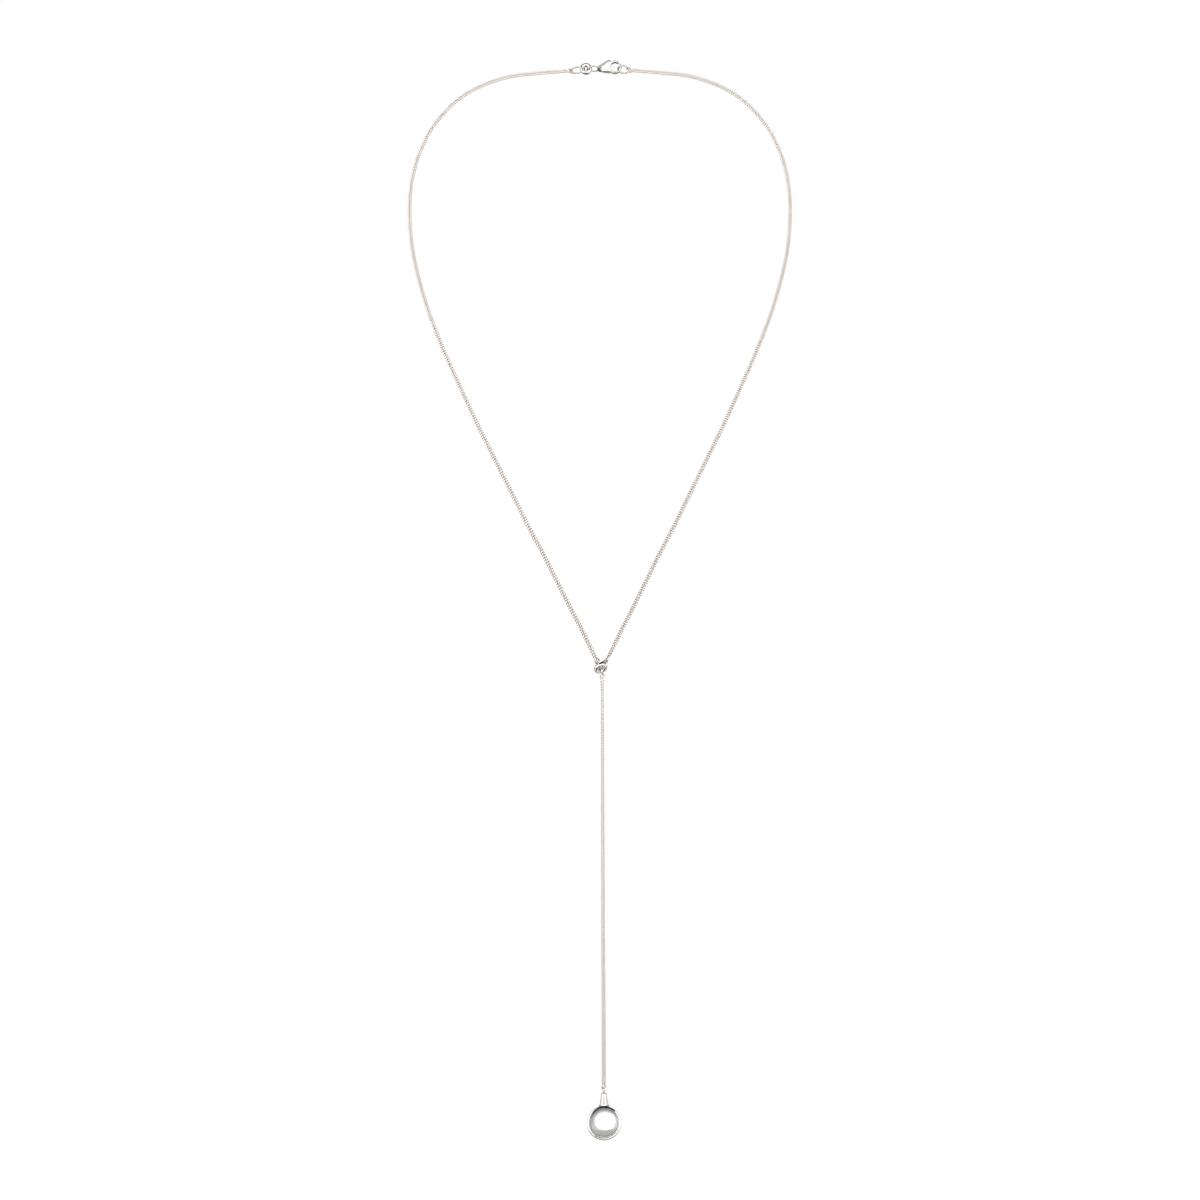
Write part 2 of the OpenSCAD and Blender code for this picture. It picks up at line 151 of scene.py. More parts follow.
# Each card: name, turn to the right of the front, height above the horizon, half width, half height
# and soft edge, all in degrees, then its colour and its strength
CARDS = [
    ("paper behind", 180, 0, 78, 95, 12, (1.0, 0.99, 0.98), 0.80),
    ("front light", 0, 8, 56, 32, 6, (1.0, 0.985, 0.96), 1.7),
    ("camera", 0, -1, 16, 8, 4, (1.0, 1.0, 1.0), 0.19),
    ("left wall", -84, 0, 18, 40, 8, (1.0, 0.95, 0.91), 0.85),
    ("right wall", 84, 0, 18, 40, 8, (1.0, 0.95, 0.91), 0.85),
    ("left edge", -134, 0, 12, 34, 6, (1.0, 0.84, 0.80), 0.42),
    ("right edge", 134, 0, 12, 34, 6, (1.0, 0.84, 0.80), 0.42),
    ("grey ceiling", 0, 90, 180, 46, 5, (0.85, 0.97, 1.0), 0.33),
    ("dark table", 0, -58, 48, 28, 4, (0.70, 0.82, 1.0), 0.10),
    ("floor", 0, -90, 180, 16, 6, (0.60, 0.75, 1.0), 0.12),
    ("brown shelf", 180, -36, 55, 23, 4, (1.0, 0.62, 0.42), 0.09),
    ("black back card", 180, 50, 66, 37, 3, (1.0, 1.0, 1.0), 0.01),
    ("black right card", 95, 52, 34, 14, 4, (1.0, 1.0, 1.0), 0.01),
]
# The flash adds to the light that scatters in a surface, so the stone takes it up, the half matt
# chain less, and a mirror not at all
FLASH = 1.1

world = bpy.data.worlds.new("studio_room")
world.use_nodes = True
bpy.context.scene.world = world
room_tree = world.node_tree
room_tree.nodes.clear()
looked_at = room_tree.nodes.new("ShaderNodeSeparateXYZ")
room_tree.links.new(room_tree.nodes.new("ShaderNodeTexCoord").outputs["Generated"], looked_at.inputs[0])
to_the_front = worked_out(room_tree, "MULTIPLY", looked_at.outputs["Y"], -1.0)
turn = worked_out(room_tree, "ARCTAN2", looked_at.outputs["X"], to_the_front)
rise = worked_out(room_tree, "ARCSINE", looked_at.outputs["Z"])


def nearness(offset, half, edge):
    """1 within half an angle of a card's middle line, 0 beyond its soft edge."""
    away = worked_out(room_tree, "ABSOLUTE", offset)
    return soft_step(room_tree, away, math.radians(half + edge), math.radians(half))


def card_mask(card_turn, card_rise, half_width, half_height, edge):
    """1 on a card of the room, 0 off it."""
    sideways = worked_out(room_tree, "SUBTRACT", turn, math.radians(card_turn))
    sideways = worked_out(room_tree, "WRAP", sideways, math.pi, -math.pi)
    upwards = worked_out(room_tree, "SUBTRACT", rise, math.radians(card_rise))
    return worked_out(room_tree, "MULTIPLY", nearness(sideways, half_width, edge),
                      nearness(upwards, half_height, edge))


room = ROOM_COLOUR
for card, card_turn, card_rise, half_width, half_height, edge, colour, strength in CARDS:
    glow = tuple(channel * strength for channel in colour)
    room = mixed(room_tree, card_mask(card_turn, card_rise, half_width, half_height, edge), room, glow)
    print("card:", card, [round(channel, 2) for channel in glow])
rays = room_tree.nodes.new("ShaderNodeLightPath").outputs
background = room_tree.nodes.new("ShaderNodeBackground")
wired(room_tree, background.inputs["Color"], mixed(room_tree, rays["Is Camera Ray"], room, WHITE))
brightness = worked_out(room_tree, "MULTIPLY_ADD", rays["Is Diffuse Ray"], FLASH, 1.0)
wired(room_tree, background.inputs["Strength"], brightness)
world_output = room_tree.nodes.new("ShaderNodeOutputWorld")
room_tree.links.new(background.outputs["Background"], world_output.inputs["Surface"])
bpy.context.scene.view_settings.view_transform = "Standard"

# %% [markdown]
# ## Floor and backdrop
# A sweep of white paper runs back under the necklace and up behind it, as in a product picture.
# It is far enough away to take no shadow, and it glows a little, so that the ground stays white.

# %% Paper sweep
FLOOR_LEVEL = -0.45
SWEEP_NEAR = -1.6
SWEEP_BEND = 0.9
SWEEP_RADIUS = 0.5
SWEEP_TOP = 1.6
SWEEP_HALF_WIDTH = 3.0
BEND_STEPS = 24


def glowing_paper(name):
    """White paper that never falls into shade."""
    paper, shader = new_material(name)
    shader.inputs["Base Color"].default_value = (0, 0, 0, 1)
    shader.inputs["Specular IOR Level"].default_value = 0
    shader.inputs["Emission Color"].default_value = (*WHITE, 1)
    shader.inputs["Emission Strength"].default_value = 1
    return paper


bend = [math.radians(90) * step / BEND_STEPS for step in range(BEND_STEPS + 1)]
side_view = [(SWEEP_NEAR, FLOOR_LEVEL)]
side_view += [(SWEEP_BEND + SWEEP_RADIUS * math.sin(a), FLOOR_LEVEL + SWEEP_RADIUS * (1 - math.cos(a)))
              for a in bend]
side_view += [(SWEEP_BEND + SWEEP_RADIUS, SWEEP_TOP)]
sweep_points = [(x, y, z) for y, z in side_view for x in (-SWEEP_HALF_WIDTH, SWEEP_HALF_WIDTH)]
sweep_faces = [(2 * i, 2 * i + 1, 2 * i + 3, 2 * i + 2) for i in range(len(side_view) - 1)]
sweep_mesh = bpy.data.meshes.new("paper_sweep")
sweep_mesh.from_pydata(sweep_points, [], sweep_faces)
sweep_mesh.shade_smooth()
sweep_mesh.materials.append(glowing_paper("white_paper"))
sweep = new_object("paper_sweep", sweep_mesh)
sweep.visible_glossy = False
sweep.visible_diffuse = False
print("paper sweep:", len(sweep_faces), "strips")

# %% [markdown]
# ## Silver
# All the metal is polished silver, in three finishes. The rings and the setting are buffed on a
# wheel, which leaves a mirror with hairline scratches. The clasp is cast and tumbled, so it is
# smooth but a little warmer and softer. The chain is only tumbled in a drum: each link is duller,
# half mirror and half matt, and its tone varies from link to link. Roughness does most of this:
# noise moves it by about a tenth, and a very fine bump breaks the reflections. Each finish also has
# a dark colour for painted shade in hollows, corners and gaps, which in the chain's hollows is
# partly tarnish too: each piece says where, in an attribute of painted shade and grime, which is 0
# on a clean surface and 1 in a dark corner.

# %% Finishes of silver
TONE_GRAIN = 700
SCRATCH_STRENGTH = 0.12
SCRATCH_DEPTH = 0.004 * MM
# Fractal noise seldom leaves this range
NOISE_LOW = 0.3
NOISE_HIGH = 0.7


def noise_value(tree, scale, detail, stretch=(1, 1, 1)):
    """Fractal noise fixed to the object, as a value from 0 to 1."""
    nodes = tree.nodes
    place = nodes.new("ShaderNodeTexCoord")
    mapping = nodes.new("ShaderNodeMapping")
    mapping.inputs["Scale"].default_value = stretch
    noise = nodes.new("ShaderNodeTexNoise")
    noise.inputs["Scale"].default_value = scale
    noise.inputs["Detail"].default_value = detail
    tree.links.new(place.outputs["Object"], mapping.inputs["Vector"])
    tree.links.new(mapping.outputs["Vector"], noise.inputs["Vector"])
    return noise.outputs["Fac"]


def spread(tree, value, low, high):
    """A value of noise spread over a range."""
    scale = tree.nodes.new("ShaderNodeMapRange")
    scale.inputs["From Min"].default_value = NOISE_LOW
    scale.inputs["From Max"].default_value = NOISE_HIGH
    scale.inputs["To Min"].default_value = low
    scale.inputs["To Max"].default_value = high
    tree.links.new(value, scale.inputs["Value"])
    return scale.outputs["Result"]


def fine_bump(tree, shader, height, strength, depth):
    """A relief too fine to model."""
    bump = tree.nodes.new("ShaderNodeBump")
    bump.inputs["Strength"].default_value = strength
    bump.inputs["Distance"].default_value = depth
    tree.links.new(height, bump.inputs["Height"])
    tree.links.new(bump.outputs["Normal"], shader.inputs["Normal"])


def silver(name, bright, shaded, shade_and_grime, smoothest, roughest, scratch_scale, stretch=(1, 1, 1),
           mirror=1.0):
    """Silver whose tone and polish vary a little. With a mirror below 1 it is partly matt."""
    metal, shader = new_material(name)
    tree = metal.node_tree
    shader.inputs["Metallic"].default_value = mirror
    clean = mixed(tree, noise_value(tree, TONE_GRAIN, 3), shaded, bright)
    # The attribute says where the dark colour paints shade in, with some tarnish in the chain
    dark_share = tree.nodes.new("ShaderNodeAttribute")
    dark_share.attribute_name = "shade_and_grime"
    tree.links.new(mixed(tree, dark_share.outputs["Fac"], clean, shade_and_grime), shader.inputs["Base Color"])
    scratches = noise_value(tree, scratch_scale, 5, stretch)
    tree.links.new(spread(tree, scratches, smoothest, roughest), shader.inputs["Roughness"])
    fine_bump(tree, shader, scratches, SCRATCH_STRENGTH, SCRATCH_DEPTH)
    return metal


# Colours of the painted shade in each finish
BROWN = (0.30, 0.21, 0.14)
DARK_BROWN = (0.045, 0.034, 0.018)
BLACK = (0.012, 0.012, 0.012)
buffed_silver = silver("buffed_silver", bright=(0.97, 0.96, 0.95), shaded=(0.90, 0.89, 0.87),
                       shade_and_grime=BLACK, smoothest=0.05, roughest=0.13, scratch_scale=2600,
                       stretch=(1, 1, 4))
tumbled_silver = silver("tumbled_silver", bright=(0.98, 0.955, 0.92), shaded=(0.92, 0.89, 0.85),
                        shade_and_grime=BROWN, smoothest=0.18, roughest=0.32, scratch_scale=4200, mirror=0.45)
cast_silver = silver("cast_silver", bright=(1.0, 0.97, 0.905), shaded=(0.96, 0.915, 0.84),
                     shade_and_grime=DARK_BROWN, smoothest=0.16, roughest=0.24, scratch_scale=3000, mirror=0.85)
print("silver finishes:", buffed_silver.name, tumbled_silver.name, cast_silver.name)

# %% [markdown]
# ## Trees for what repeats
# Links and rings repeat a rule, so Geometry Nodes make them. A tree is built like a recipe: it
# has named inputs for its sizes, and each piece fills them in. The result is then frozen into a
# plain mesh at the origin, because the exported model knows nothing of modifiers or instances.

# %% Helpers for building and freezing a tree
def ramp(value, start, end):
    """0 at the start, 1 at the end, and even between, also where the end is the lower one."""
    return min(1, max(0, (value - start) / (end - start)))


def store_shade_and_grime(mesh, amounts):
    """Notes on a mesh how dark each of its points is, mostly from painted shade."""
    layer = mesh.attributes.new("shade_and_grime", "FLOAT", "POINT")
    layer.data.foreach_set("value", amounts)


def stroke(away, half_width, edge, fade):
    """How dark a painted stroke is at a distance from its middle line."""
    return ramp(fade * (edge - away / half_width), 0, 1)


class Recipe:
    """A Geometry Nodes tree in the making, with named sizes and one material."""

    KINDS = {int: "NodeSocketInt", float: "NodeSocketFloat", tuple: "NodeSocketVector"}

    def __init__(self, name, sizes):
        self.group = bpy.data.node_groups.new(name, "GeometryNodeTree")
        face = self.group.interface
        face.new_socket("Geometry", in_out="INPUT", socket_type="NodeSocketGeometry")
        for label, size in sizes.items():
            kind = self.KINDS[type(size)]
            face.new_socket(label, in_out="INPUT", socket_type=kind).default_value = size
        face.new_socket("Metal", in_out="INPUT", socket_type="NodeSocketMaterial")
        face.new_socket("Geometry", in_out="OUTPUT", socket_type="NodeSocketGeometry")
        self.given = self.group.nodes.new("NodeGroupInput").outputs

    def add(self, kind, wires=None, **settings):
        """One node, with its settings, and with sockets linked or set by their place or name."""
        node = self.group.nodes.new(kind)
        for setting, choice in settings.items():
            setattr(node, setting, choice)
        for socket, value in (wires or {}).items():
            wired(self.group, node.inputs[socket], value)
        return node

    def maths(self, operation, first, second=0.0, third=0.0):
        """The result of one sum."""
        return worked_out(self.group, operation, first, second, third)

    def place(self):
        """The X, Y and Z of each point."""
        point = self.add("GeometryNodeInputPosition").outputs[0]
        return self.add("ShaderNodeSeparateXYZ", {0: point}).outputs

    def round_wire(self):
        """The section of a wire of the given thickness."""
        radius = self.maths("MULTIPLY", self.given["Wire"], 0.5)
        sizes = {"Resolution": self.given["Sides"], "Radius": radius}
        return self.add("GeometryNodeCurvePrimitiveCircle", sizes).outputs[0]

    def finish(self, shape):
        """Plain smooth faces with the given material."""
        plain = self.add("GeometryNodeRealizeInstances", {0: shape}).outputs[0]
        smooth = self.add("GeometryNodeSetShadeSmooth", {0: plain}).outputs[0]
        coated = self.add("GeometryNodeSetMaterial", {0: smooth, "Material": self.given["Metal"]})
        self.add("NodeGroupOutput", {0: coated.outputs[0]})
        print(self.group.name, "recipe:", len(self.group.nodes), "nodes")


def baked(holder):
    """The mesh that an object's modifiers make. The object itself goes."""
    seen = holder.evaluated_get(bpy.context.evaluated_depsgraph_get())
    mesh = bpy.data.meshes.new_from_object(seen)
    bpy.data.objects.remove(holder)
    return mesh


def frozen(name, holder, recipe, metal, **sizes):
    """Runs a tree on a holder object and keeps the result as a plain mesh."""
    modifier = holder.modifiers.new("recipe", "NODES")
    modifier.node_group = recipe.group
    sockets = {item.name: item.identifier for item in recipe.group.interface.items_tree
               if item.in_out == "INPUT"}
    for label, size in sizes.items():
        value = tuple(size) if isinstance(size, Vector) else size
        modifier[sockets[label.replace("_", " ").capitalize()]] = value
    modifier[sockets["Metal"]] = metal
    return new_object(name, baked(holder))


# %% [markdown]
# ## The curb chain
# A curb chain is made of round wire bent into ovals that are linked and then twisted, so that
# all of them lie flat in one plane. Seen from the front each link crosses its neighbours as a
# slanting bar. The middle line of such a link is simple: an oval whose height goes up and down
# twice on one turn. On a circle of radius one, x and y are the cosine and the sine, and 2 x y is
# the sine of twice the angle, so the tree needs only three multiplications to twist an oval.
#
# The twist lifts two corners of each link and sinks the other two. The low places between the
# links get brown painted shade, with a little tarnish there too. This gives a fine chain its row
# of light and dark bars, so the recipe notes how low each place of a link lies.

# %% Sizes of one link
LINK_PITCH = 0.70 * MM
LINK_HALF_LENGTH = 0.53 * MM
LINK_HALF_WIDTH = 0.40 * MM
LINK_TWIST = 0.20 * MM
LINK_WIRE = 0.30 * MM
LINK_BENDS = 12
WIRE_SIDES = 6
# The last link at each end is larger, because it takes a ring beside its neighbour
END_LINK_SCALE = 1.5
# Distance of an end link's middle from the wire of the ring that it hangs on
HOOK_REACH = 0.22 * MM
# Heights above the chain's middle plane between which a link goes from bright to brown painted shade
CREVICE_TOP = 0.27 * MM
CREVICE_FLOOR = 0.13 * MM
print("a link is", round((2 * LINK_HALF_LENGTH + LINK_WIRE) / MM, 2), "mm long outside")

# %% Recipe of the curb chain
curb = Recipe("curb_chain", {
    "Pitch": LINK_PITCH,
    "Half length": LINK_HALF_LENGTH,
    "Half width": LINK_HALF_WIDTH,
    "Twist": LINK_TWIST,
    "Wire": LINK_WIRE,
    "Bends": LINK_BENDS,
    "Sides": WIRE_SIDES,
    "Turn at start": 0.0,
    "Hook turn at start": 0.0,
    "Hook turn at end": 0.0,
    "Hook stretch": 6.0 * MM,
    "Wobble": math.radians(1.5),
    "End scale": END_LINK_SCALE,
    "Grime": 0.85,
    "Shade": 0.03,
    "Seed": 7,
})
given = curb.given

oval = curb.add("GeometryNodeCurvePrimitiveCircle", {"Resolution": given["Bends"], "Radius": 1.0})
place = curb.place()
twice = curb.maths("MULTIPLY", curb.maths("MULTIPLY", place["X"], place["Y"]), 2.0)
bent = curb.add("ShaderNodeCombineXYZ", {
    "X": curb.maths("MULTIPLY", place["X"], given["Half length"]),
    "Y": curb.maths("MULTIPLY", place["Y"], given["Half width"]),
    "Z": curb.maths("MULTIPLY", twice, given["Twist"]),
})
middle_line = curb.add("GeometryNodeSetPosition", {0: oval.outputs[0], "Position": bent.outputs[0]})
link = curb.add("GeometryNodeCurveToMesh", {0: middle_line.outputs[0], 1: curb.round_wire()})
surface = curb.place()
# Painted shade in the low places of each link, brown, and partly tarnish
crevice_shade = curb.add("ShaderNodeMapRange", {
    "Value": curb.maths("ABSOLUTE", surface["Z"]),
    "From Min": CREVICE_TOP,
    "From Max": CREVICE_FLOOR,
    "To Min": given["Shade"],
    "To Max": given["Grime"],
}, interpolation_type="SMOOTHSTEP")
link = curb.add("GeometryNodeStoreNamedAttribute", {
    0: link.outputs[0],
    "Name": "shade_and_grime",
    "Value": crevice_shade.outputs["Result"],
}, domain="POINT")

# %% [markdown]
# The links are then set along the route at their pitch. Each one points along the route and lies
# flat towards the viewer, apart from the slow turn of the drop chain and a quicker turn over the
# last few links, which brings the end link to the angle at which it holds its ring.

# %% Links set along the route
smooth_route = curb.add("GeometryNodeCurveSplineType", {0: given["Geometry"]}, spline_type="CATMULL_ROM")
route_length = curb.add("GeometryNodeCurveLength", {0: smooth_route.outputs[0]}).outputs[0]
gaps = curb.maths("ROUND", curb.maths("DIVIDE", route_length, given["Pitch"]))
stations = curb.add("GeometryNodeCurveToPoints", {
    0: smooth_route.outputs[0],
    "Count": curb.maths("ADD", gaps, 1.0),
}, mode="COUNT")
number = curb.add("GeometryNodeInputIndex").outputs[0]
share = curb.maths("DIVIDE", number, gaps)


def faded_turn(share_from_hook, turn):
    """A turn that fades out over the stretch next to a hook."""
    reach = curb.maths("DIVIDE", given["Hook stretch"], route_length)
    fade = curb.add("ShaderNodeMapRange", {
        "Value": share_from_hook,
        "From Min": 0.0,
        "From Max": reach,
        "To Min": turn,
        "To Max": 0.0,
    }, interpolation_type="SMOOTHSTEP")
    return fade.outputs["Result"]


slow_turn = curb.add("ShaderNodeMapRange", {
    "Value": share,
    "To Min": given["Turn at start"],
    "To Max": 0.0,
}).outputs["Result"]
start_turn = faded_turn(share, given["Hook turn at start"])
end_turn = faded_turn(curb.maths("SUBTRACT", 1.0, share), given["Hook turn at end"])
chance = curb.add("FunctionNodeRandomValue", {2: -1.0, 3: 1.0, "ID": number, "Seed": given["Seed"]})
tremble = curb.maths("MULTIPLY", chance.outputs[1], given["Wobble"])
turn_from_start = curb.maths("ADD", slow_turn, start_turn)
whole_turn = curb.maths("ADD", turn_from_start, curb.maths("ADD", end_turn, tremble))
along = curb.add("FunctionNodeAxesToRotation", {
    "Primary Axis": stations.outputs["Tangent"],
    "Secondary Axis": (0, -1, 0),
}, primary_axis="X", secondary_axis="Z")
roll = curb.add("FunctionNodeAxisAngleToRotation", {"Axis": (1, 0, 0), "Angle": whole_turn})
turned = curb.add("FunctionNodeRotateRotation", {0: along.outputs[0], 1: roll.outputs[0]},
                  rotation_space="LOCAL")
from_nearer_end = curb.maths("MINIMUM", number, curb.maths("SUBTRACT", gaps, number))
is_end = curb.maths("LESS_THAN", from_nearer_end, 0.5)
gain = curb.maths("SUBTRACT", given["End scale"], 1.0)
size = curb.maths("MULTIPLY_ADD", is_end, gain, 1.0)
hung = curb.add("GeometryNodeInstanceOnPoints", {
    "Points": stations.outputs["Points"],
    "Instance": link.outputs[0],
    "Rotation": turned.outputs[0],
    "Scale": size,
})
curb.finish(hung.outputs[0])

# %% [markdown]
# ## Routes of the three chains
# The two arms follow the same line, mirrored: straight out from the clasp row, round the neck,
# and down to the junction while they come forward. The drop hangs plumb. The middle of each end
# link lies a set distance beyond the wire of the ring that carries it.

# %% Routes
ARM_ROUTE = [
    (18, 0, -1), (25.5, -0.5, -2), (33, -1.5, -4.5), (39.5, -3.5, -8.5), (44.5, -5.5, -13.5),
    (48.5, -8, -19.5), (51, -10.5, -25.5), (52.5, -13, -31), (53.5, -16, -38), (53.5, -19.5, -46.5),
    (52.5, -23.5, -55.5), (51, -27, -62.5), (49, -30.5, -69.5), (46.5, -34, -77),
    (43.5, -37.5, -84.5), (40, -41, -92.5), (36.5, -44.5, -100), (33, -47.5, -107.5),
    (29.5, -50, -114.5), (26, -52.5, -121.5), (22.5, -54.5, -128.5), (19, -56.5, -135.5),
    (15.5, -57.5, -142), (12, -58.5, -149), (8.5, -59, -156), (4.9, -59, -163), (2.5, -59, -168),
]
# Radius of the middle line of each ring that a chain hangs on
LEFT_RING_RADIUS = 2.1 * MM
RIGHT_RING_RADIUS = 1.55 * MM
SMALL_LINK_RADIUS = 0.95 * MM
BAIL_LINK_RADIUS = 0.62 * MM


def middle_of(node):
    """The middle of a node's box."""
    low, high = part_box(node)
    return (low + high) / 2


def hooked_on(node, radius, towards):
    """Where a chain that leaves a ring towards a point has the middle of its end link."""
    centre = middle_of(node)
    return centre + (Vector(towards) - centre).normalized() * (radius + HOOK_REACH)


def arm(side, end_ring, ring_radius, small_link):
    """Route of one arm, from its end ring to its small link at the junction."""
    line = [Vector((side * x, y, z)) * MM for x, y, z in ARM_ROUTE]
    return [hooked_on(end_ring, ring_radius, line[0]), *line,
            hooked_on(small_link, SMALL_LINK_RADIUS, line[-1])]


drop_middle = middle_of("drop_chain")
drop_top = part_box("drop_chain")[1].z
drop_start = hooked_on("y_link_drop", SMALL_LINK_RADIUS, (drop_middle.x, drop_middle.y, drop_top))
drop_end = middle_of("bail_link") + Vector((0, 0, BAIL_LINK_RADIUS + HOOK_REACH))
DROP_BENDS = 8
drop_depth = drop_end.z - drop_start.z
drop = [Vector((drop_middle.x, drop_middle.y, drop_start.z + drop_depth * i / DROP_BENDS))
        for i in range(DROP_BENDS + 1)]
routes = {
    "chain_left": arm(-1, "end_ring_left", LEFT_RING_RADIUS, "y_link_left"),
    "chain_right": arm(1, "end_ring_right", RIGHT_RING_RADIUS, "y_link_right"),
    "drop_chain": drop,
}
for name, route in routes.items():
    length = sum((b - a).length for a, b in zip(route, route[1:]))
    print(name, "route", round(length / MM, 1), "mm")

# %% [markdown]
# The recipe then runs once for each chain. Each end has a turn of its own, at which its link
# clears the ring's wire. The painted shade in the hollows gets darker the lower the chain hangs,
# because more light falls on the top, and that is added once the tree has run.

# %% Chains of links
# What each chain has of its own. The other sizes are the recipe's.
OWN_SIZES = {
    "chain_left": {"Hook_turn_at_start": math.radians(34), "Hook_turn_at_end": math.radians(-30)},
    "chain_right": {"Hook_turn_at_start": math.radians(-3), "Hook_turn_at_end": math.radians(-66)},
    "drop_chain": {"Turn_at_start": math.radians(-70), "Hook_turn_at_start": math.radians(55),
                   "Hook_turn_at_end": math.radians(-30), "Hook_stretch": 3.5 * MM,
                   "Grime": 0.72, "Shade": 0.16, "End_scale": 1.28},
}
# How dark the painted shade in the hollows is, as shares of what the recipe gives: a height in mm
# and the share there, then a lower height and its share
ARM_SHADE_BY_HEIGHT = (-20, 0.78, -165, 1.15)
SHADE_BY_HEIGHT = {
    "chain_left": ARM_SHADE_BY_HEIGHT,
    "chain_right": ARM_SHADE_BY_HEIGHT,
    "drop_chain": (-180, 0.58, -275, 1.18),
}


def shaded_by_height(mesh, high, high_share, low, low_share):
    """Paints the hollows of a chain darker the lower they hang, as painted shade. The heights are in mm.
    """
    for vertex, amount in zip(mesh.vertices, mesh.attributes["shade_and_grime"].data):
        share = ramp(vertex.co.z / MM, high, low)
        amount.value *= high_share + (low_share - high_share) * share


def route_object(name, route):
    """A plain line through the points of a route."""
    line = bpy.data.curves.new(name, "CURVE")
    line.dimensions = "3D"
    spline = line.splines.new("POLY")
    spline.points.add(len(route) - 1)
    for point, place in zip(spline.points, route):
        point.co = (*place, 1)
    return new_object(name, line)


for node, route in routes.items():
    links = frozen(node + "_links", route_object(node + "_route", route), curb, tumbled_silver,
                   **OWN_SIZES[node])
    # Painted shade that deepens down each chain
    shaded_by_height(links.data, *SHADE_BY_HEIGHT[node])
    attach(links, "necklace")
    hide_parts(node)
    print(links.name, len(links.data.polygons) // (LINK_BENDS * WIRE_SIDES), "links")

# %% [markdown]
# ## Rings of wire
# A jump ring is wire wound on a rod, sawn into rings and closed with two pliers, so each one
# keeps a hairline where its ends meet. The recipe sweeps a round wire along an arc that stops
# just short of a full turn, and then lays it in the plane that the ring hangs in. Two directions
# give that plane: one along the ring, and the ring's own axis.

# %% Recipe of a wire ring
wire_ring = Recipe("wire_ring", {
    "Radius": 1.0 * MM,
    "Wire": 0.4 * MM,
    "Seam": math.radians(1.2),
    "Seam at": 0.0,
    "Middle": (0.0, 0.0, 0.0),
    "Along": (1.0, 0.0, 0.0),
    "Axis": (0.0, 0.0, 1.0),
    "Steps": 96,
    "Sides": 20,
})
given = wire_ring.given
ring_line = wire_ring.add("GeometryNodeCurveArc", {
    "Resolution": given["Steps"],
    "Radius": given["Radius"],
    "Start Angle": given["Seam at"],
    "Sweep Angle": wire_ring.maths("SUBTRACT", math.tau, given["Seam"]),
})
ring_body = wire_ring.add("GeometryNodeCurveToMesh", {
    0: ring_line.outputs[0],
    1: wire_ring.round_wire(),
    "Fill Caps": True,
})


def laid_in_plane(recipe, shape):
    """A ring moved to its place and turned into the plane that it hangs in."""
    plane = recipe.add("FunctionNodeAxesToRotation", {
        "Primary Axis": recipe.given["Along"],
        "Secondary Axis": recipe.given["Axis"],
    }, primary_axis="X", secondary_axis="Z")
    laid = recipe.add("GeometryNodeTransform", {
        0: shape.outputs[0],
        "Translation": recipe.given["Middle"],
        "Rotation": plane.outputs[0],
    })
    return laid.outputs[0]


wire_ring.finish(laid_in_plane(wire_ring, ring_body))

# %% [markdown]
# The heavy rings at the nape and at the junction are cast. Their wall is thick, rounded on both
# sides, and has no seam.

# %% Recipe of a heavy ring
# The rounding of each corner, as a share of the wall, leaves hardly anything flat
CORNER_SHARE = 0.48
CORNER_STEPS = 10
heavy_ring = Recipe("heavy_ring", {
    "Radius": 1.2 * MM,
    "Wall": 1.05 * MM,
    "Width": 1.2 * MM,
    "Middle": (0.0, 0.0, 0.0),
    "Along": (1.0, 0.0, 0.0),
    "Axis": (0.0, 0.0, 1.0),
    "Steps": 128,
})
given = heavy_ring.given
heavy_line = heavy_ring.add("GeometryNodeCurvePrimitiveCircle", {
    "Resolution": given["Steps"],
    "Radius": given["Radius"],
})
heavy_box = heavy_ring.add("GeometryNodeCurvePrimitiveQuadrilateral", {
    "Width": given["Wall"],
    "Height": given["Width"],
})
heavy_section = heavy_ring.add("GeometryNodeFilletCurve", {
    0: heavy_box.outputs[0],
    "Count": CORNER_STEPS,
    "Radius": heavy_ring.maths("MULTIPLY", given["Wall"], CORNER_SHARE),
}, mode="POLY")
heavy_body = heavy_ring.add("GeometryNodeCurveToMesh", {
    0: heavy_line.outputs[0],
    1: heavy_section.outputs[0],
})
heavy_ring.finish(laid_in_plane(heavy_ring, heavy_body))

# %% [markdown]
# Each ring's plane follows from how it hangs. In the clasp row it is known by its slope along the
# row and by its lean to the front. At the junction the heavy ring has three directions of its own,
# and each small link lies across its wall.

# %% Planes of the rings
def row_plane(slope, lean):
    """Direction along a ring of the clasp row, and the ring's axis, from angles in degrees."""
    slope = math.radians(slope)
    lean = math.radians(lean)
    along = Vector((math.cos(slope), 0, math.sin(slope)))
    across = Vector((-math.sin(slope) * math.cos(lean), math.sin(lean),
                     math.cos(slope) * math.cos(lean)))
    return along, along.cross(across)


Y_RISE = math.radians(30)
Y_LEAN = math.radians(140)
y_long = Vector((math.cos(Y_RISE), 0, math.sin(Y_RISE)))
y_side = Vector((-math.sin(Y_RISE) * math.sin(Y_LEAN), math.cos(Y_LEAN),
                 math.cos(Y_RISE) * math.sin(Y_LEAN)))
y_axis = y_long.cross(y_side)


def link_plane(place):
    """Directions of a small link across the junction ring's wall, at a place in degrees round it."""
    angle = math.radians(place)
    outwards = math.cos(angle) * y_long + math.sin(angle) * y_side
    return outwards, outwards.cross(y_axis)


NAPE_TILT = math.radians(15)
nape_axis = Vector((0, -math.cos(NAPE_TILT), math.sin(NAPE_TILT)))
LINK_OF_BAIL = (Vector((0, 0, -1)), Vector((1, 0, 0)))
